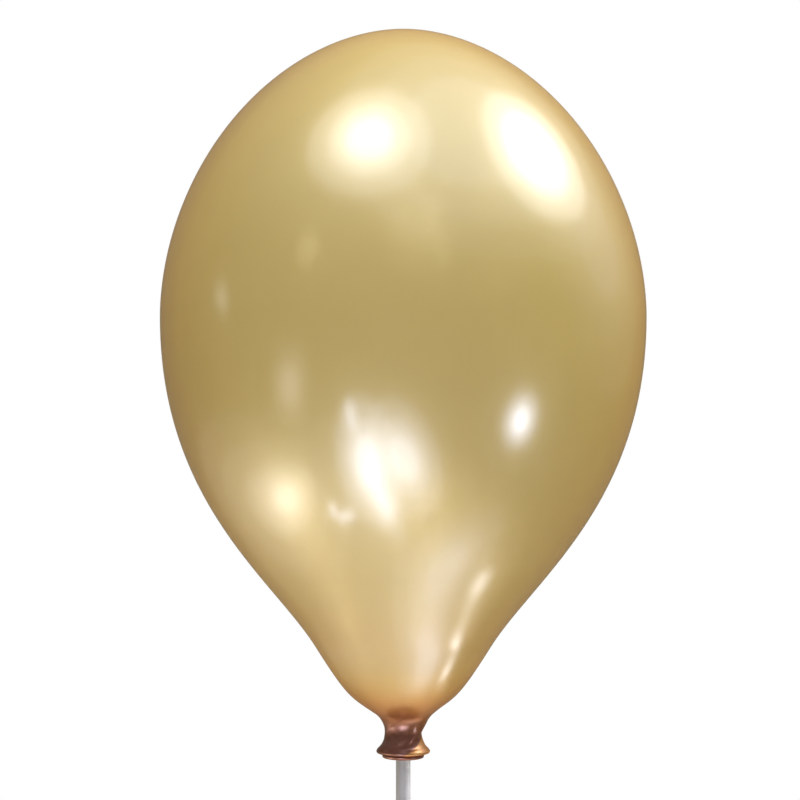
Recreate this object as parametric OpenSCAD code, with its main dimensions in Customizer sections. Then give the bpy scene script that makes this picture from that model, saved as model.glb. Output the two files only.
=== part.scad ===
// Latex balloon on a stick.
// The neck is stretched and twisted over a waisted plug, the rolled mouth grips
// under the plug's flange, and the plug's spigot stands in a plain tube stick.
// Heights are millimetres above the stick's lower end; +Z is up the stick.

/* [Balloon] */
// Widest diameter of the inflated balloon
balloon_d = 280; // [270:1:290]
// Height of the crown above the widest ring
crown_h = 166; // [158:1:174]
// Roundness of the crown: 2 is an ellipse, less is more pointed
crown_power = 1.89; // [1.82:0.01:2.0]
// Height of the widest ring above the waist of the neck
belly_h = 239.5; // [230:0.5:250]
// Radius of the cone just above the shoulder
shoulder_r = 51; // [48:0.5:54]
// Height of that ring above the waist
shoulder_z = 50; // [47:0.5:53]
// Wall of the inflated envelope, thicker here than real latex
envelope_t = 0.4; // [0.4:0.05:0.8]

/* [Neck] */
// Diameter of the latex at the waist
waist_d = 21.8; // [20.8:0.2:23]
// Radius of the curve of the waist, seen from the side
waist_curve_r = 13.1; // [12.5:0.1:14]
// Diameter over the rim, where the latex turns under the flange
rim_d = 31; // [30.6:0.1:31.6]
// Height of the rim's rounded edge
rim_h = 2.4; // [2.2:0.1:2.6]
// Depth of the rim's middle below the waist
rim_drop = 10.9; // [10.7:0.1:11.2]
// Wall of the gathered, twisted neck
neck_t = 0.6; // [0.5:0.05:0.65]
// Diameter over the rolled bead of the mouth
bead_d = 24.4; // [24:0.1:25]
// Thickness of the rolled bead
bead_t = 2.8; // [2.4:0.1:3]

/* [Stick] */
// Length of the tube
stick_l = 384; // [300:2:420]
// Outer diameter of the tube
stick_d = 8.4; // [8.2:0.1:8.8]
// Wall of the tube
stick_t = 1.0; // [0.9:0.05:1.1]

/* [Plug and valve] */
// Length of the spigot inside the tube
spigot_l = 16; // [10:1:24]
// Bore of the air way
air_way_d = 4; // [3:0.2:4.2]
// Diameter of the valve disc
disc_d = 9.2; // [8.6:0.2:9.6]
// Thickness of the valve disc
disc_t = 0.8; // [0.6:0.1:1]
// Lift of the disc off its seat
disc_lift = 1.8; // [1.4:0.1:2]
// Arms of the cage over the disc
cage_arms = 3; // [3:1:5]

/* [Hidden] */
$fn = 96;

// The tube butts on the plug inside the collar under the flange.
collar_gap = 0.8;          // radial room around the tube in the collar
collar_depth = 1.7;        // how far the tube enters it
stop_drop = 12.5;          // the plug's stop face below the waist
waist_z = stick_l + stop_drop;
fit = 0.05;                // radial clearance of the spigot, and of the latex on the plug

// The waist curve is one arc. Its lower end stops where it points 45 degrees out.
waist_r = waist_d / 2;
curve_r = waist_r + waist_curve_r;
throat_z = 10.8;           // where the arc hands over to the throat
throat_a = asin(throat_z / waist_curve_r);
flare_a = 45;
rim_r = rim_h / 2;
rim_c = [rim_d / 2 - rim_r, -rim_drop];

// The throat leaves the arc along its tangent and reaches the shoulder ring on the
// slope of the cone; the belly goes on from there to the widest ring.
shoulder_slope = 0.63;     // growth of the radius with height at the shoulder ring
throat_pull = 18;
shoulder_pull_down = 33.5;
shoulder_pull_up = 46.5;
belly_pull = 106;
seam_t = 0.08;             // place of the neck's upper edge along the throat
seam_gap = 0.3;            // room between the neck's edge and the envelope's
throat_steps = 20;
belly_steps = 26;
crown_steps = 26;

balloon_r = balloon_d / 2;
throat_start = [curve_r - waist_curve_r * cos(throat_a), throat_z];
throat_dir = [sin(throat_a), cos(throat_a)];
shoulder = [shoulder_r, shoulder_z];
shoulder_dir = [shoulder_slope, 1] / norm([shoulder_slope, 1]);
throat_curve = [throat_start, throat_start + throat_pull * throat_dir,
                shoulder - shoulder_pull_down * shoulder_dir, shoulder];
belly_curve = [shoulder, shoulder + shoulder_pull_up * shoulder_dir,
               [balloon_r, belly_h - belly_pull], [balloon_r, belly_h]];

// Plug
hub_r = (bead_d - 2 * bead_t) / 2 - 0.1;
hub_drop = stop_drop + collar_depth;
spool_top = 5.5;           // top face of the plug above the waist
bore_r = air_way_d / 2;
spigot_r = stick_d / 2 - stick_t - fit;

// Valve: a loose disc on a raised seat, under a cage pressed into the same pocket
pocket_r = 5.6;
pocket_floor = 1.6;        // above the waist
seat_h = 0.4;
seat_w = 0.9;
disc_z = pocket_floor + seat_h + 0.02;
cage_z = disc_z + disc_t + disc_lift + 0.05;
cage_t = 1.0;
cage_ring_w = 0.5;
cage_arm_w = 1.2;
cage_hub_r = 1.3;

function bezier(c, t) = pow(1 - t, 3) * c[0] + 3 * pow(1 - t, 2) * t * c[1]
    + 3 * (1 - t) * t * t * c[2] + pow(t, 3) * c[3];

// Arc of the waist, from angle a0 above the waist down to a1; inset goes into the wall.
function waist_arc(a0, a1, inset, steps) = [for (i = [0:steps]) let (a = a0 + (a1 - a0) * i / steps)
    [curve_r - (waist_curve_r + inset) * cos(a), (waist_curve_r + inset) * sin(a)]];

// Rounded edge of the rim, from its upper side round to its underside.
function rim_arc(inset) = [for (a = [flare_a:-15:-90])
    rim_c + (rim_r - inset) * [cos(a), sin(a)]];

function throat(t0, t1, steps) = [for (i = [0:steps]) bezier(throat_curve, t0 + (t1 - t0) * i / steps)];
function belly() = [for (i = [1:belly_steps]) bezier(belly_curve, i / belly_steps)];
function crown() = [for (i = [1:crown_steps]) let (a = 90 * i / crown_steps)
    i == crown_steps ? [0, belly_h + crown_h]
    : [balloon_r * pow(cos(a), 2 / crown_power), belly_h + crown_h * pow(sin(a), 2 / crown_power)]];

// The same line moved towards the axis side by d: each point moves along its own normal.
function inner(p, d) = let (n = len(p) - 1) [for (i = [0:n])
    let (v = p[min(n, i + 1)] - p[max(0, i - 1)], u = v / norm(v))
    p[i][0] == 0 ? p[i] - [0, d] : p[i] + d * [-u[1], u[0]]];
function reversed(p) = [for (i = [len(p) - 1:-1:0]) p[i]];

module stick_tube() {
    color("gainsboro") difference() {
        cylinder(h = stick_l, d = stick_d);
        translate([0, 0, -1]) cylinder(h = stick_l + 2, d = stick_d - 2 * stick_t);
    }
}

// Spool, flange, collar and spigot in one moulding.
module plug_body() {
    color("ivory") translate([0, 0, waist_z]) difference() {
        rotate_extrude() polygon(concat(
            [[bore_r, spool_top]],
            waist_arc(asin(spool_top / (waist_curve_r + neck_t + fit)), -flare_a, neck_t + fit, 16),
            rim_arc(neck_t + fit),
            [[hub_r, rim_c[1] - rim_r + neck_t + fit], [hub_r, -hub_drop],
             [stick_d / 2 + collar_gap, -hub_drop], [stick_d / 2 + collar_gap, -stop_drop],
             [spigot_r, -stop_drop], [spigot_r, -stop_drop - spigot_l + 0.5],
             [spigot_r - 0.4, -stop_drop - spigot_l], [bore_r, -stop_drop - spigot_l]]));
        // valve pocket, with the seat left standing around the air way
        translate([0, 0, pocket_floor]) difference() {
            cylinder(h = spool_top, r = pocket_r);
            translate([0, 0, -1]) cylinder(h = 1 + seat_h, r = bore_r + seat_w);
        }
    }
}

module valve_disc() {
    color("dimgray") translate([0, 0, waist_z + disc_z]) cylinder(h = disc_t, d = disc_d);
}

// Ring with arms that meet at a small hub; air passes between the arms.
module valve_cage() {
    color("white") translate([0, 0, waist_z + cage_z]) intersection() {
        cylinder(h = cage_t, r = pocket_r);
        union() {
            difference() {
                cylinder(h = cage_t, r = pocket_r);
                translate([0, 0, -1]) cylinder(h = cage_t + 2, r = pocket_r - cage_ring_w);
            }
            cylinder(h = cage_t, r = cage_hub_r);
            for (i = [0:cage_arms - 1]) rotate([0, 0, 360 / cage_arms * i])
                translate([0, -cage_arm_w / 2, 0]) cube([pocket_r - cage_ring_w / 2, cage_arm_w, cage_t]);
        }
    }
}

// Latex over the plug: throat, waist, rim and the turned-under skirt.
module neck() {
    outer = concat(reversed(throat(0, seam_t, 4)), waist_arc(throat_a, -flare_a, 0, 24));
    back = concat(waist_arc(-flare_a, throat_a, neck_t, 24), [for (p = inner(throat(0, seam_t, 4), neck_t))
        if (p[1] > throat_z) p]);
    skirt_r = hub_r + 0.3;
    color("saddlebrown") translate([0, 0, waist_z]) rotate_extrude() polygon(concat(
        outer, rim_arc(0), [[skirt_r, rim_c[1] - rim_r], [skirt_r, rim_c[1] - rim_r + neck_t]],
        reversed(rim_arc(neck_t)), back));
}

// Rolled mouth of the balloon, gripping round the hub under the flange.
module lip_bead() {
    color("sienna") translate([0, 0, waist_z + rim_c[1] - rim_r - bead_t / 2 - fit])
        rotate_extrude() translate([(bead_d - bead_t) / 2, 0]) circle(d = bead_t, $fn = 48);
}

// Inflated envelope, open at the throat where it carries on from the neck.
module envelope() {
    start_t = seam_t + seam_gap / (3 * throat_pull);
    skin = concat(throat(start_t, 1, throat_steps), belly(), crown());
    color("darkgoldenrod") translate([0, 0, waist_z])
        rotate_extrude($fn = 128) polygon(concat(skin, reversed(inner(skin, envelope_t))));
}

stick_tube();
plug_body();
valve_disc();
valve_cage();
neck();
lip_bead();
envelope();
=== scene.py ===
"""Latex balloon on a stick: pearl gold skin, rolled bead, plug, valve and tube stick."""
import math

import bmesh
import bpy
import numpy as np
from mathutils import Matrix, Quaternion, Vector


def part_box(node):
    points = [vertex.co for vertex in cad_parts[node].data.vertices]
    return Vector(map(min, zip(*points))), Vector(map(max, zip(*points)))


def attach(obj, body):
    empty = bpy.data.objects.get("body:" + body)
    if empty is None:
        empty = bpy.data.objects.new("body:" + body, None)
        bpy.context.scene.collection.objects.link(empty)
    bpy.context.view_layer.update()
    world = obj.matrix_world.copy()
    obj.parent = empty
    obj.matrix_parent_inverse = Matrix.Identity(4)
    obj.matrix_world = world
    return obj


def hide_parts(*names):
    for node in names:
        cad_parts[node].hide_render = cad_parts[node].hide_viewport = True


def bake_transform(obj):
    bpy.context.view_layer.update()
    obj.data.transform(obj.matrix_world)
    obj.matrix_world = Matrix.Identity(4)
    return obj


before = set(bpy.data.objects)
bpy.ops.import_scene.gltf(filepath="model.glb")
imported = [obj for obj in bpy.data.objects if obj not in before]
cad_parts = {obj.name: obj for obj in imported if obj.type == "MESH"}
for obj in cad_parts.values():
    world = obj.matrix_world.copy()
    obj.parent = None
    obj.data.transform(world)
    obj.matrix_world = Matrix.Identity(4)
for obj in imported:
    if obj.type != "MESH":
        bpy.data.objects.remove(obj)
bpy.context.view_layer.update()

MM = 0.001

# ---------------------------------------------------------------- where the pieces stand
skin_low, skin_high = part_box("envelope")
stick_low, stick_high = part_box("stick_tube")
bead_low, bead_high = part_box("lip_bead")

STICK_TOP = stick_high[2]
STICK_R = (stick_high[0] - stick_low[0]) / 2
BALLOON_R = (skin_high[0] - skin_low[0]) / 2
WAIST_Z = STICK_TOP + 12.5 * MM          # the narrowest ring of the neck
CROWN_Z = skin_high[2] - WAIST_Z         # the crown's height above it

# ---------------------------------------------------------------- outline of the latex
WAIST_R = 10.9 * MM
WAIST_CURVE_R = 13.1 * MM
THROAT_Z = 10.8 * MM
FLARE_ANGLE = math.radians(45)
RIM_R = 1.2 * MM
RIM_CENTRE = np.array([14.3, -10.9]) * MM
SHOULDER = np.array([51.0, 50.0]) * MM
SHOULDER_SLOPE = 0.63
BELLY_Z = 239.5 * MM
BELLY_PULL = 106 * MM                    # how far each curve's handles reach
CONE_PULL_UP = 46.5 * MM
CONE_PULL_DOWN = 33.5 * MM
THROAT_PULL = 18 * MM
CROWN_POWER = 1.89
SKIRT_R = 9.7 * MM

# ---------------------------------------------------------------- the twist of the neck
HELIX_CLIMB = math.radians(7.6)          # turn of a fold for each mm of height
FOLD_START = math.radians(92)            # where the deep fold passes the waist
PAINTED_LIGHT_FACET_START = math.radians(88)           # where the painted light on the facet past the fold's foot begins
FOLD_DEPTH = 1.6                         # in mm, as is the next
RIPPLE_DEPTH = 0.2
RIPPLES = 5                              # small folds in one round
SLACK = 0.3 * MM                         # how much lower the latex lies between the folds

# ---------------------------------------------------------------- wall and stretch
BALLOON_WALL = 0.4                       # in mm, as is the next
NECK_WALL_EXTRA = 0.2
FULL_STRETCH_R = 0.1                     # stretch is 1 from this radius on
FULL_STRETCH_Z = 150 * MM                # and everywhere above this height
SLACK_LATEX = 0.11                       # stretch of the latex on the plug
FACET_PAINTED_LIGHT = 0.13                       # painted light: what the facet past the deep fold adds to it, so that it shows lighter
ROLLED_LATEX = 0.1                       # stretch of the rolled bead
TUBE_WALL = 1 * MM


def bezier(p, t):
    """Cubic curve through p[0] and p[3], pulled towards p[1] and p[2]."""
    t = t[:, None]
    return ((1 - t) ** 3 * p[0] + 3 * (1 - t) ** 2 * t * p[1]
            + 3 * (1 - t) * t * t * p[2] + t ** 3 * p[3])


def latex_outline():
    """Half outline of the latex as (radius, height above the waist), from the crown to the skirt.

    The crown is the quarter of a superellipse |r/R|^p + |z/H|^p = 1, the belly and the throat
    are two cubic curves that meet on the slope of the cone, the waist is one arc, the rim a
    smaller one, and the skirt runs straight in under the flange.
    """
    a = np.linspace(math.pi / 2, 0, 56)[:-1]
    crown = np.c_[BALLOON_R * np.cos(a) ** (2 / CROWN_POWER),
                  BELLY_Z + (CROWN_Z - BELLY_Z) * np.sin(a) ** (2 / CROWN_POWER)]
    crown[0, 0] = 0
    cone = np.array([SHOULDER_SLOPE, 1]) / math.hypot(SHOULDER_SLOPE, 1)
    belly = bezier([np.array([BALLOON_R, BELLY_Z]), np.array([BALLOON_R, BELLY_Z - BELLY_PULL]),
                    SHOULDER + CONE_PULL_UP * cone, SHOULDER], np.linspace(0, 1, 52)[:-1])
    b = math.asin(THROAT_Z / WAIST_CURVE_R)
    start = np.array([WAIST_R + WAIST_CURVE_R * (1 - math.cos(b)), THROAT_Z])
    throat = bezier([SHOULDER, SHOULDER - CONE_PULL_DOWN * cone,
                     start + THROAT_PULL * np.array([math.sin(b), math.cos(b)]), start],
                    np.linspace(0, 1, 34)[:-1])
    c = np.linspace(b, -FLARE_ANGLE, 44)
    waist = np.c_[WAIST_R + WAIST_CURVE_R * (1 - np.cos(c)), WAIST_CURVE_R * np.sin(c)]
    e = np.linspace(FLARE_ANGLE, -math.pi / 2, 10)
    rim = RIM_CENTRE + RIM_R * np.c_[np.cos(e), np.sin(e)]
    skirt = np.c_[np.linspace(rim[-1, 0], SKIRT_R, 5)[1:], np.full(4, rim[-1, 1])]
    return np.vstack([crown, belly, throat, waist, rim, skirt])


def smoothstep(x, low, high):
    """0 below low, 1 above high, and the smooth cubic between them."""
    t = np.clip((x - low) / (high - low), 0, 1)
    return t * t * (3 - 2 * t)


def outline_normals(p):
    """Unit normals of an outline, turned away from the latex's inside."""
    d = np.gradient(p, axis=0)
    n = np.c_[-d[:, 1], d[:, 0]]
    n = -n if n[len(p) // 3, 0] < 0 else n
    n[0] = (0, 1) if p[0, 0] == 0 else n[0]
    return n / np.linalg.norm(n, axis=1, keepdims=True)


def past_helix(angle, height, start):
    """Turn past a helix that crosses the waist at start, as an angle and as a share of a round."""
    turn = angle - start - HELIX_CLIMB * height / MM
    return turn, np.mod(turn, 2 * math.pi) / (2 * math.pi)


def twisted(height):
    """1 along the twisted neck, fading to 0 towards the rim below and the shoulder above."""
    return smoothstep(height, -11 * MM, -7 * MM) * (1 - smoothstep(height, 6 * MM, 21 * MM))


def twist_folds(angle, height):
    """Height of the helical folds of the twisted neck.

    Each fold is a saw tooth round the neck, whose phase advances with height: one deep fold
    that rises over a quarter of the round and falls over an eighth, and small ones between.
    """
    turn, main = past_helix(angle, height, FOLD_START)
    step = smoothstep(main, 0.62, 0.86) * (1 - smoothstep(main, 0.86, 0.98))
    small = np.mod(turn * RIPPLES / (2 * math.pi) + 0.18 * np.sin(2 * turn), 1)
    ripple = small * (1 - smoothstep(small, 0.7, 1))
    return (FOLD_DEPTH * step + RIPPLE_DEPTH * ripple) * twisted(height) * MM


def painted_light_facet(angle, height):
    """1 on the facet past the foot of the deep fold, where light is painted, 0 elsewhere.

    It starts at the helix of the fold's foot and fades about a third of the way round.
    """
    main = past_helix(angle, height, PAINTED_LIGHT_FACET_START)[1]
    fade = smoothstep(height, -15 * MM, -11.5 * MM) * (1 - smoothstep(height, -2 * MM, 3 * MM))
    return smoothstep(main, 0, 0.03) * (1 - smoothstep(main, 0.3, 0.45)) * fade


def surface(name, rings):
    """Mesh of a grid of rings, as rows by around by xyz, wrapped round. A row may be a pole."""
    rows, around = rings.shape[:2]
    i, j = np.meshgrid(np.arange(rows - 1), np.arange(around), indexing="ij")
    k = (j + 1) % around
    quads = np.stack([i * around + j, (i + 1) * around + j,
                      (i + 1) * around + k, i * around + k], -1).reshape(-1, 4)
    mesh = bpy.data.meshes.new(name)
    mesh.from_pydata(rings.reshape(-1, 3), [], quads)
    mesh.validate()
    mesh.shade_smooth()
    piece = bpy.data.objects.new(name, mesh)
    bpy.context.collection.objects.link(piece)
    return piece


def weld(piece, distance=1e-7):
    """Closes poles and seams: points closer than distance become one."""
    work = bmesh.new()
    work.from_mesh(piece.data)
    bmesh.ops.remove_doubles(work, verts=work.verts, dist=distance)
    work.to_mesh(piece.data)
    work.free()
    return piece


def ring_points(radius, height, angle):
    """Points (r sin a, -r cos a, z): angle 0 faces the front, and grows towards the right."""
    return np.stack([radius * np.sin(angle), -radius * np.cos(angle), height], -1)


def latex_skin():
    """The dipped skin in one piece, from the crown to the skirt, with a wall.

    The outer face is the outline turned about Z and raised by the folds of the twist. The
    inner face is the plain outline moved in by the wall, which thins from the neck to the
    balloon. The stretch attribute holds how far the latex is drawn out: radius / 100 mm, at
    most 1, low and even on the plug. On the facet past the deep fold it is raised a little
    more, which is painted light: lighter latex standing in for the lamp light that reaches
    there past the shoulder's shadow.
    """
    line = latex_outline()
    normal = outline_normals(line)
    angle = np.linspace(0, 2 * math.pi, 224, endpoint=False)
    a, r = np.meshgrid(angle, line[:, 0])
    z = np.repeat(line[:, 1:], len(angle), 1)
    wall = (BALLOON_WALL + NECK_WALL_EXTRA * (1 - smoothstep(line[:, 1], 12 * MM, 40 * MM))) * MM
    lift = twist_folds(a, z) - SLACK * twisted(z)
    outer = ring_points(r + lift * normal[:, :1], z + lift * normal[:, 1:], a)
    back = line - normal * wall[:, None]
    back[0, 0] = 0
    rb = np.repeat(back[:, :1], len(angle), 1)
    zb = np.repeat(back[:, 1:], len(angle), 1)
    rings = np.concatenate([outer, ring_points(rb, zb, a)[::-1]])
    rings[..., 2] += WAIST_Z
    skin = weld(surface("latex_skin", rings))
    spots = np.empty(len(skin.data.vertices) * 3)
    skin.data.vertices.foreach_get("co", spots)
    x, y, z = spots.reshape(-1, 3).T
    drawn = np.clip(np.hypot(x, y) / FULL_STRETCH_R, 0, 1)
    drawn = np.where(z > WAIST_Z + FULL_STRETCH_Z, 1.0, drawn)
    drawn = np.where(z < WAIST_Z, np.minimum(drawn, SLACK_LATEX), drawn)
    # Painted light: the facet past the deep fold gets lighter latex, standing in for the lamp light
    # that reaches it past the shoulder's shadow.
    drawn = drawn + FACET_PAINTED_LIGHT * painted_light_facet(np.arctan2(x, -y), z - WAIST_Z)
    store = skin.data.attributes.new("stretch_and_painted_light", "FLOAT", "POINT")
    store.data.foreach_set("value", drawn.astype(np.float32))
    return skin


def rolled_bead():
    """The rolled mouth: a ring whose section is a circle with faint turns of the roll.

    Section radius = r0 (1 + small ripple in the section angle + slow swell round the ring).
    """
    major = (bead_high[0] - bead_low[0]) / 2
    minor = (bead_high[2] - bead_low[2]) / 2
    major -= minor
    middle = (bead_high[2] + bead_low[2]) / 2
    around = np.linspace(0, 2 * math.pi, 144, endpoint=False)
    section = np.linspace(0, 2 * math.pi, 49)
    s, a = np.meshgrid(section, around, indexing="ij")
    size = minor * (1 - 0.05 + 0.035 * np.cos(5 * s + 3 * a)
                    + 0.03 * np.sin(2 * a + 0.6) * np.cos(s))
    rings = ring_points(major + size * np.cos(s), middle + size * np.sin(s), a)
    bead = weld(surface("rolled_bead", rings[::-1]), 1e-6)
    store = bead.data.attributes.new("stretch_and_painted_light", "FLOAT", "POINT")
    store.data.foreach_set("value", np.full(len(bead.data.vertices), ROLLED_LATEX, np.float32))
    return bead


def stick():
    """The tube stick: outline of the wall with rounded ends, turned about Z."""
    bore = STICK_R - TUBE_WALL
    ease = 0.18 * MM
    q = np.linspace(0, math.pi / 2, 5)
    top, low = stick_high[2], stick_low[2]
    out_top = np.c_[STICK_R - ease + ease * np.cos(q), top - ease + ease * np.sin(q)]
    in_top = np.c_[bore + ease - ease * np.sin(q), top - ease + ease * np.cos(q)]
    in_low = np.c_[bore + ease - ease * np.cos(q), low + ease - ease * np.sin(q)]
    out_low = np.c_[STICK_R - ease + ease * np.sin(q), low + ease - ease * np.cos(q)]
    side = np.c_[np.full(40, STICK_R), np.linspace(low + 1 * MM, top - 1 * MM, 40)]
    hole = np.c_[np.full(40, bore), np.linspace(top - 1 * MM, low + 1 * MM, 40)]
    line = np.vstack([side, out_top, in_top, hole, in_low, out_low, side[:1]])[::-1]
    around = np.linspace(0, 2 * math.pi, 96, endpoint=False)
    a, r = np.meshgrid(around, line[:, 0])
    z = np.repeat(line[:, 1:], len(around), 1)
    return weld(surface("tube_stick", ring_points(r, z, a)), 1e-6)


# ---------------------------------------------------------------- finishes
def node(tree, kind, **values):
    """New shader node with its properties and the values of its unlinked inputs."""
    made = tree.nodes.new(kind)
    for key, value in values.items():
        if hasattr(made, key):
            setattr(made, key, value)
        else:
            made.inputs[key.replace("_", " ")].default_value = value
    return made


def group(name, inputs, outputs):
    """Empty node group with named inputs {name: (type, default)} and outputs {name: type}."""
    tree = bpy.data.node_groups.new(name, "ShaderNodeTree")
    for key, (kind, default) in inputs.items():
        socket = tree.interface.new_socket(key, in_out="INPUT", socket_type=kind)
        socket.default_value = default
    for key, kind in outputs.items():
        tree.interface.new_socket(key, in_out="OUTPUT", socket_type=kind)
    return tree, tree.nodes.new("NodeGroupInput"), tree.nodes.new("NodeGroupOutput")


def place(tree, shared, **values):
    """One use of a node group with its own values."""
    made = tree.nodes.new("ShaderNodeGroup")
    made.node_tree = shared
    for key, value in values.items():
        made.inputs[key.replace("_", " ")].default_value = value
    return made


def finish(name):
    """New material with an empty tree and its output."""
    made = bpy.data.materials.new(name)
    made.use_nodes = True
    made.node_tree.nodes.clear()
    return made, made.node_tree, made.node_tree.nodes.new("ShaderNodeOutputMaterial")


def maths(tree, operation, first, second):
    """Result of a Math node on two values, each a socket or a number."""
    made = node(tree, "ShaderNodeMath", operation=operation)
    for socket, value in zip(made.inputs, (first, second)):
        if isinstance(value, float):
            socket.default_value = value
        else:
            tree.links.new(value, socket)
    return made.outputs[0]


def ranged(tree, value, start, end, low, high):
    """A value from start to end, laid onto low to high and held there."""
    made = node(tree, "ShaderNodeMapRange", From_Min=start, From_Max=end, To_Min=low, To_Max=high)
    tree.links.new(value, made.inputs["Value"])
    return made.outputs["Result"]


def shader_mix(tree, share, first, second):
    """Two shaders mixed: share is how much of the second."""
    made = node(tree, "ShaderNodeMixShader")
    tree.links.new(share, made.inputs["Fac"])
    tree.links.new(first.outputs[0], made.inputs[1])
    tree.links.new(second.outputs[0], made.inputs[2])
    return made


def pigment_group():
    """Pearl pigment: slow clouds and fine flakes, as a value about 1."""
    tree, given, made = group("pearl_pigment", {"Cloud Size": ("NodeSocketFloat", 9.0),
                                                "Cloud Depth": ("NodeSocketFloat", 0.1),
                                                "Flake Depth": ("NodeSocketFloat", 0.05)},
                              {"Tone": "NodeSocketFloat"})
    where = node(tree, "ShaderNodeTexCoord").outputs["Object"]
    cloud = node(tree, "ShaderNodeTexNoise", Detail=3.0, Roughness=0.55)
    flake = node(tree, "ShaderNodeTexNoise", Scale=900.0, Detail=2.0, Roughness=0.7)
    tree.links.new(where, cloud.inputs["Vector"])
    tree.links.new(where, flake.inputs["Vector"])
    tree.links.new(given.outputs["Cloud Size"], cloud.inputs["Scale"])
    clouds = maths(tree, "SUBTRACT", ranged(tree, cloud.outputs["Fac"], 0.3, 0.7, 0.0, 1.0), 0.5)
    clouds = maths(tree, "MULTIPLY", clouds, given.outputs["Cloud Depth"])
    specks = maths(tree, "SUBTRACT", flake.outputs["Fac"], 0.5)
    specks = maths(tree, "MULTIPLY", specks, given.outputs["Flake Depth"])
    both = maths(tree, "ADD", clouds, specks)
    tree.links.new(maths(tree, "ADD", both, 1.0), made.inputs["Tone"])
    return tree


def flow_group():
    """Runs left by the dip: a shallow waviness, long down the balloon and short across it."""
    tree, given, made = group("dipped_runs", {"Depth": ("NodeSocketFloat", 0.00005)},
                              {"Normal": "NodeSocketVector"})
    where = node(tree, "ShaderNodeTexCoord")
    drawn = node(tree, "ShaderNodeMapping")
    drawn.inputs["Scale"].default_value = (150.0, 150.0, 13.0)
    runs = node(tree, "ShaderNodeTexNoise", Scale=1.0, Detail=2.0, Roughness=0.5)
    bump = node(tree, "ShaderNodeBump", Strength=1.0)
    link = tree.links.new
    link(where.outputs["Object"], drawn.inputs["Vector"])
    link(drawn.outputs["Vector"], runs.inputs["Vector"])
    link(runs.outputs["Fac"], bump.inputs["Height"])
    link(given.outputs["Depth"], bump.inputs["Distance"])
    link(bump.outputs["Normal"], made.inputs["Normal"])
    return tree


def moulded_group():
    """Moulded plastic: faint orange peel as a height, a slightly uneven gloss and tone."""
    tree, given, made = group("moulded_plastic", {"Grain Size": ("NodeSocketFloat", 700.0),
                                                  "Roughness": ("NodeSocketFloat", 0.4),
                                                  "Unevenness": ("NodeSocketFloat", 0.1)},
                              {"Height": "NodeSocketFloat", "Roughness": "NodeSocketFloat",
                               "Tone": "NodeSocketFloat"})
    where = node(tree, "ShaderNodeTexCoord")
    peel = node(tree, "ShaderNodeTexNoise", Detail=2.0)
    slow = node(tree, "ShaderNodeTexNoise", Scale=120.0, Detail=3.0)
    link = tree.links.new
    link(where.outputs["Object"], peel.inputs["Vector"])
    link(where.outputs["Object"], slow.inputs["Vector"])
    link(given.outputs["Grain Size"], peel.inputs["Scale"])
    uneven = maths(tree, "MULTIPLY", maths(tree, "SUBTRACT", slow.outputs["Fac"], 0.5),
                   given.outputs["Unevenness"])
    link(peel.outputs["Fac"], made.inputs["Height"])
    link(maths(tree, "ADD", uneven, given.outputs["Roughness"]), made.inputs["Roughness"])
    link(maths(tree, "ADD", uneven, 1.0), made.inputs["Tone"])
    return tree


def toned(tree, colour, tone):
    """Colour times tone, where tone is a value or another colour."""
    share, first, second, result = 0, 6, 7, 2      # the Mix node's sockets for colours
    mixed = node(tree, "ShaderNodeMix", data_type="RGBA", blend_type="MULTIPLY")
    mixed.inputs[share].default_value = 1.0
    tree.links.new(colour, mixed.inputs[first])
    tree.links.new(tone, mixed.inputs[second])
    return mixed.outputs[result]


def ramp(tree, value, stops):
    """Colour ramp of (position, colour) stops."""
    made = node(tree, "ShaderNodeValToRGB")
    band = made.color_ramp.elements
    while len(band) < len(stops):
        band.new(0.5)
    for entry, (at, colour) in zip(band, stops):
        entry.position = at
        entry.color = (*colour, 1)
    tree.links.new(value, made.inputs["Fac"])
    return made.outputs["Color"]


# Ramps of the latex, as (stretch, colour): thick and brown on the plug, pale gold drawn out. The
# darkest stops on the plug are partly painted shade, the neck lying in shade under the balloon.
LATEX_AND_NECK_SHADE_COLOURS = [(0.11, (0.165, 0.055, 0.033)), (0.14, (0.3, 0.12, 0.045)), (0.2, (0.45, 0.2, 0.05)),
                (0.27, (0.50, 0.25, 0.055)), (0.42, (0.64, 0.41, 0.06)),
                (0.75, (0.60, 0.45, 0.07)), (1.0, (0.59, 0.45, 0.07))]
FILM_COLOURS = [(0.1, (0.3, 0.1, 0.03)), (0.3, (0.75, 0.42, 0.14)), (0.6, (1.0, 0.9, 0.66))]
WETNESS = [(0.115, (0.16,) * 3), (0.15, (0.06,) * 3), (0.3, (0.12,) * 3), (0.5, (1.0,) * 3)]
# What the base is multiplied by from face on to edge on: painted edge shade, darker and warmer
# towards the outline, partly the film's deeper colour seen edge on.
EDGE_SHADE_AND_WARMTH = [(0.0, (1.0, 1.0, 1.0)), (0.5, (1.0, 0.88, 0.8)),
               (0.8, (0.9, 0.67, 0.5)), (1.0, (0.4, 0.25, 0.17))]


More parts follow.
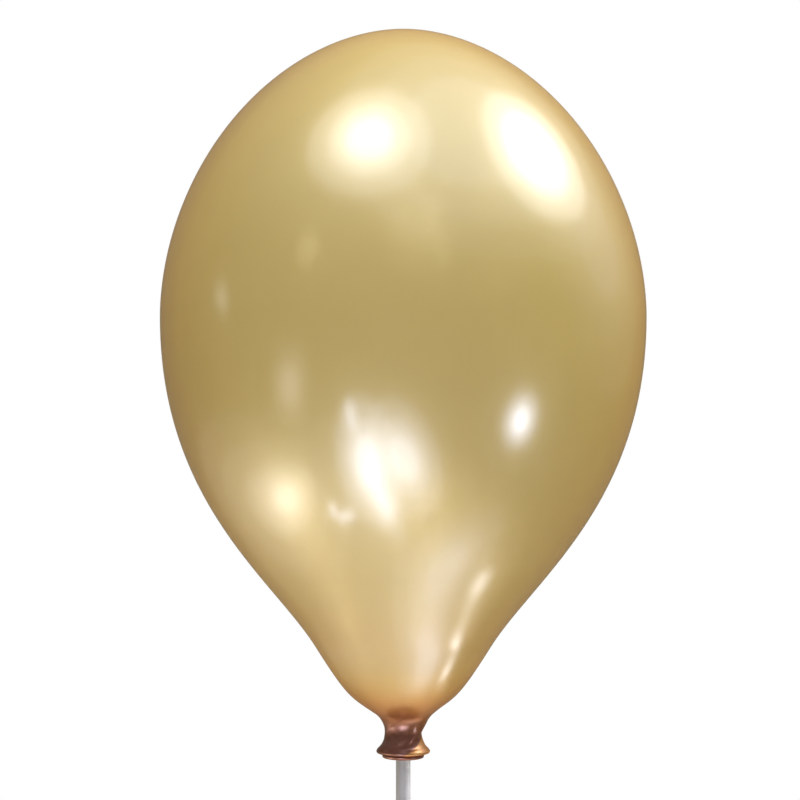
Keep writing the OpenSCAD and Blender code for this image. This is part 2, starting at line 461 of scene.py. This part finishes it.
def pearl_latex(name, pigment, runs, roughness=0.36, clearness=0.42, gloss=0.16):
    """Pearl latex: a pearly body under a wet gloss, see-through where it is drawn out.

    Face on, part of the light goes through the film tinted; towards its edge the path
    through the film grows and it closes. The back of each face is left clear, so that
    a wall with two faces counts once.
    """
    made, tree, out = finish(name)
    link = tree.links.new
    stretch_and_painted_light = node(tree, "ShaderNodeAttribute", attribute_name="stretch_and_painted_light").outputs["Fac"]
    tone = place(tree, pigment, Cloud_Size=9.0, Cloud_Depth=0.10, Flake_Depth=0.06)
    wavy = place(tree, runs, Depth=0.00006).outputs["Normal"]
    edge_on = node(tree, "ShaderNodeLayerWeight", Blend=0.5).outputs["Facing"]

    pearl = node(tree, "ShaderNodeBsdfPrincipled", Roughness=roughness, IOR=1.8)
    pearl.inputs["Specular Tint"].default_value = (1.0, 1.0, 1.0, 1)
    pearl.inputs["Coat Roughness"].default_value = gloss
    pearl.inputs["Coat Tint"].default_value = (1.0, 0.99, 0.96, 1)
    pearl.inputs["Coat IOR"].default_value = 2.2
    link(wavy, pearl.inputs["Normal"])
    link(ranged(tree, stretch_and_painted_light, 0.12, 0.45, 0.75, 0.05), pearl.inputs["Metallic"])
    wet = maths(tree, "MULTIPLY", ramp(tree, stretch_and_painted_light, WETNESS),
                ranged(tree, edge_on, 0.3, 1.0, 1.0, 0.35))
    link(wet, pearl.inputs["Coat Weight"])
    # Painted edge shade: the base darkens and warms towards the outline as the face turns edge on.
    edge_shade = ramp(tree, ranged(tree, edge_on, 0.25, 1.0, 0.0, 1.0), EDGE_SHADE_AND_WARMTH)
    # Partly painted shade: the darkest body colours on the neck also stand in for the shade under
    # the balloon.
    body = toned(tree, ramp(tree, stretch_and_painted_light, LATEX_AND_NECK_SHADE_COLOURS), tone.outputs["Tone"])
    link(toned(tree, body, edge_shade), pearl.inputs["Base Color"])

    through = node(tree, "ShaderNodeBsdfTransparent")
    link(ramp(tree, stretch_and_painted_light, FILM_COLOURS), through.inputs["Color"])
    thin = node(tree, "ShaderNodeLayerWeight", Blend=0.35).outputs["Facing"]
    clear = maths(tree, "MULTIPLY", ranged(tree, thin, 0.0, 0.9, clearness, 0.02),
                  ranged(tree, stretch_and_painted_light, 0.45, 0.85, 0.0, 1.0))
    film = shader_mix(tree, clear, pearl, through)
    back = node(tree, "ShaderNodeNewGeometry").outputs["Backfacing"]
    whole = shader_mix(tree, back, film, node(tree, "ShaderNodeBsdfTransparent"))
    link(whole.outputs[0], out.inputs["Surface"])
    return made


def plastic(name, moulded, colour, roughness, grain=700.0, depth=0.05, coat=0.0, subsurface=0.0):
    """Moulded or extruded plastic with faint orange peel."""
    made, tree, out = finish(name)
    link = tree.links.new
    look = place(tree, moulded, Grain_Size=grain, Roughness=roughness, Unevenness=0.12)
    base = node(tree, "ShaderNodeRGB")
    base.outputs[0].default_value = (*colour, 1)
    shell = node(tree, "ShaderNodeBsdfPrincipled")
    shell.inputs["Coat Weight"].default_value = coat
    shell.inputs["Coat Roughness"].default_value = 0.15
    shell.inputs["Subsurface Weight"].default_value = subsurface
    shell.inputs["Subsurface Scale"].default_value = 0.002
    link(toned(tree, base.outputs[0], look.outputs["Tone"]), shell.inputs["Base Color"])
    link(look.outputs["Roughness"], shell.inputs["Roughness"])
    bump = node(tree, "ShaderNodeBump", Strength=0.3, Distance=depth * MM)
    link(look.outputs["Height"], bump.inputs["Height"])
    link(bump.outputs["Normal"], shell.inputs["Normal"])
    link(shell.outputs[0], out.inputs["Surface"])
    return made


# ---------------------------------------------------------------- the object
pigment = pigment_group()
runs = flow_group()
moulded = moulded_group()

skin = latex_skin()
skin.data.materials.append(pearl_latex("pearl_latex_gold", pigment, runs))
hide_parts("envelope", "neck")
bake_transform(skin)

bead = rolled_bead()
bead.data.materials.append(pearl_latex("rolled_latex_bronze", pigment, runs, roughness=0.3))
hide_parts("lip_bead")
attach(bead, "plug")

tube = stick()
tube.data.materials.append(plastic("stick_plastic_satin", moulded, (0.54, 0.535, 0.56), 0.35,
                                   grain=260.0))
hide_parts("stick_tube")
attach(tube, "stick")

for part, dressing in (
        ("plug_body", plastic("plug_plastic_ivory", moulded, (0.72, 0.68, 0.58), 0.42)),
        ("valve_cage", plastic("cage_plastic_white", moulded, (0.8, 0.8, 0.77), 0.3)),
        ("valve_disc", plastic("valve_rubber_dark", moulded, (0.03, 0.03, 0.032), 0.6,
                               grain=1500.0))):
    held = bpy.data.objects[part]
    held.data.materials.clear()
    held.data.materials.append(dressing)

# ---------------------------------------------------------------- studio
SOFT_EDGE = ((1.7, 0.2), (1.1, 0.28), (0.65, 0.52))    # share of the size, part of the glow
NEARER = 0.004                                          # step between the nested lamps
WHITE = (1.0, 1.0, 1.0)
DAYLIGHT = (0.84, 0.92, 1.15)
PALE_BLUE = (0.74, 0.87, 1.13)
WARM = (1.0, 0.94, 0.82)
CREAM = (1.0, 0.96, 0.9)


def softbox(name, aim, azimuth, elevation, distance, size, glow, colour=(1, 1, 1), turn=0.0,
            fills=False):
    """Oval lamp, seen from aim at an azimuth from the front towards the right and an elevation.

    Angles are in degrees, the rest in metres. glow is its radiance: power = radiance * pi *
    area. Only a lamp that fills lights matt things; the others are there to be mirrored.
    """
    lamp = bpy.data.lights.new(name, "AREA")
    lamp.shape = "ELLIPSE"
    lamp.size, lamp.size_y = size
    lamp.energy = glow * math.pi * size[0] * size[1] * math.pi / 4
    lamp.color = colour
    az, el = math.radians(azimuth), math.radians(elevation)
    way = Vector((math.cos(el) * math.sin(az), -math.cos(el) * math.cos(az), math.sin(el)))
    made = bpy.data.objects.new(name, lamp)
    made.location = Vector(aim) + way * distance
    rolled = Quaternion((0, 0, 1), math.radians(turn))
    made.rotation_euler = (way.to_track_quat("Z", "Y") @ rolled).to_euler()
    made.visible_camera = False
    made.visible_diffuse = fills
    bpy.context.collection.objects.link(made)
    return made


def umbrella(name, aim, azimuth, elevation, distance, size, glow, colour=(1, 1, 1), turn=0.0,
             fills=False):
    """Soft-edged lamp: nested ellipses, each a little nearer and smaller than the last."""
    for step, (share, part) in enumerate(SOFT_EDGE):
        softbox(f"{name}_{step}", aim, azimuth, elevation, distance - NEARER * step,
                (size[0] * share, size[1] * share), glow * part, colour, turn, fills)


# The two keys and the pale light between them
umbrella("key_overhead", (-0.018, -0.114, 0.725), -34.2, 66.3, 1.2, (0.72, 0.62), 6.8, WHITE,
         -15, fills=True)
umbrella("key_right", (0.071, -0.096, 0.718), 101, 44, 1.2, (0.7, 0.52), 10, WHITE,
         -7, fills=True)
umbrella("between", (0.028, -0.107, 0.733), 74, 64, 1.3, (2.4, 1.7), 1.2, PALE_BLUE,
         -11, fills=True)
# The right side, from the belly down to the throat
umbrella("right_wall", (0.09, -0.09, 0.66), 112, 18, 1.2, (1.0, 0.9), 0.62, DAYLIGHT)
umbrella("low_right", (0.062, -0.117, 0.578), 62.4, -25.9, 0.9, (0.18, 0.17), 12, DAYLIGHT)
umbrella("floor_right", (0.040, -0.064, 0.478), 108, -57, 0.5, (0.075, 0.035), 7.3, WHITE, 58)
umbrella("low_spot", (0.021, -0.031, 0.427), 113.6, -54, 0.4, (0.08, 0.04), 0.8, WHITE, 35)
umbrella("pale", (0.023, -0.088, 0.496), 71.7, -71.4, 0.5, (0.28, 0.18), 1.8, DAYLIGHT, 73)
# Low on the left
umbrella("left_low", (-0.061, -0.098, 0.537), -86, -43.7, 0.6, (0.27, 0.125), 4.0, CREAM, -8)
umbrella("left_halo", (-0.061, -0.098, 0.54), -91, -42, 0.6, (0.85, 0.36), 1.3, WARM, -11)
# Window panes mirrored low in the middle
umbrella("pane_left", (-0.019, -0.124, 0.556), -21.9, -44, 0.6, (0.33, 0.195), 7.5, DAYLIGHT, 88)
umbrella("pane_right", (0.001, -0.126, 0.558), 1, -43.4, 0.6, (0.33, 0.2), 5.8, DAYLIGHT, 118)
umbrella("pane_tail", (-0.010, -0.114, 0.533), -15.4, -59.3, 0.5, (0.167, 0.075), 5, DAYLIGHT, 110)
softbox("pane_left_top", (-0.023, -0.123, 0.56), -27, -26, 0.7, (0.06, 0.14), 5, DAYLIGHT)
softbox("pane_far_left", (-0.037, -0.106, 0.530), -58.5, -55.3, 0.5, (0.045, 0.028), 8,
        DAYLIGHT, 25)
softbox("pane_far_right", (-0.031, -0.107, 0.526), -51.2, -58.9, 0.5, (0.09, 0.025), 8,
        DAYLIGHT, -7)
# Faint patches on the left
umbrella("left_side", (-0.097, -0.1, 0.643), -93, 6.2, 1.0, (0.16, 0.12), 1.4, WHITE, -49)
umbrella("left_front", (-0.060, -0.123, 0.596), -56, -16.7, 1.0, (0.29, 0.22), 1.7, WHITE, 56)
# A strip beside the stick, for the stick alone
beside = softbox("beside_the_stick", (0, 0, 0.2), 95, 0, 0.12, (0.04, 0.38), 2.2, fills=True)
beside.data.spread = math.radians(50)
beside.visible_glossy = False

# The room as mirrored and as it lights, from straight below (0) to straight above (1)
ROOM_COLOURS = [(0.0, (1.8, 1.5, 1.12)), (0.07, (1.35, 1.06, 0.7)), (0.16, (0.56, 0.44, 0.26)),
                (0.36, (0.4, 0.315, 0.2)), (0.5, (0.31, 0.26, 0.18)), (0.7, (0.34, 0.31, 0.27)),
                (1.0, (0.78, 0.78, 0.77))]
world = bpy.data.worlds.new("studio")
bpy.context.scene.world = world
world.use_nodes = True
sky = world.node_tree
sky.nodes.clear()
white = node(sky, "ShaderNodeBackground", Strength=1.0)
white.inputs["Color"].default_value = (1, 1, 1, 1)
split = node(sky, "ShaderNodeSeparateXYZ")
sky.links.new(node(sky, "ShaderNodeTexCoord").outputs["Generated"], split.inputs["Vector"])
height = ranged(sky, split.outputs["Z"], -1.0, 1.0, 0.0, 1.0)
room = node(sky, "ShaderNodeBackground", Strength=1.0)
sky.links.new(ramp(sky, height, ROOM_COLOURS), room.inputs["Color"])
seen = node(sky, "ShaderNodeLightPath").outputs["Is Camera Ray"]
sky.links.new(shader_mix(sky, seen, room, white).outputs[0],
              node(sky, "ShaderNodeOutputWorld").inputs["Surface"])


def floor():
    """Round pale floor just under the stick's end, left out of the mirrored room."""
    around = np.linspace(0, 2 * math.pi, 97)[:-1]
    radius = np.array([0.0, 0.2, 0.6, 1.1, 1.5])
    a, r = np.meshgrid(around, radius)
    made = weld(surface("floor", ring_points(r, np.full_like(r, -0.5 * MM), a)))
    coat, tree, out = finish("pale_floor")
    shade = node(tree, "ShaderNodeBsdfPrincipled", Roughness=0.6)
    shade.inputs["Base Color"].default_value = (0.62, 0.61, 0.59, 1)
    tree.links.new(shade.outputs[0], out.inputs["Surface"])
    made.data.materials.append(coat)
    made.visible_glossy = False


floor()

EYE_ASIDE, EYE_BACK, EYE_ABOVE_WAIST = -0.00185, -1.4, 0.1919
lens = bpy.data.cameras.new("camera")
lens.sensor_width = 36
lens.lens = 109
eye = bpy.data.objects.new("camera", lens)
eye.location = (EYE_ASIDE, EYE_BACK, WAIST_Z + EYE_ABOVE_WAIST)
eye.rotation_euler = (math.pi / 2, 0, 0)
bpy.context.collection.objects.link(eye)
bpy.context.scene.camera = eye
bpy.context.scene.view_settings.view_transform = "Standard"
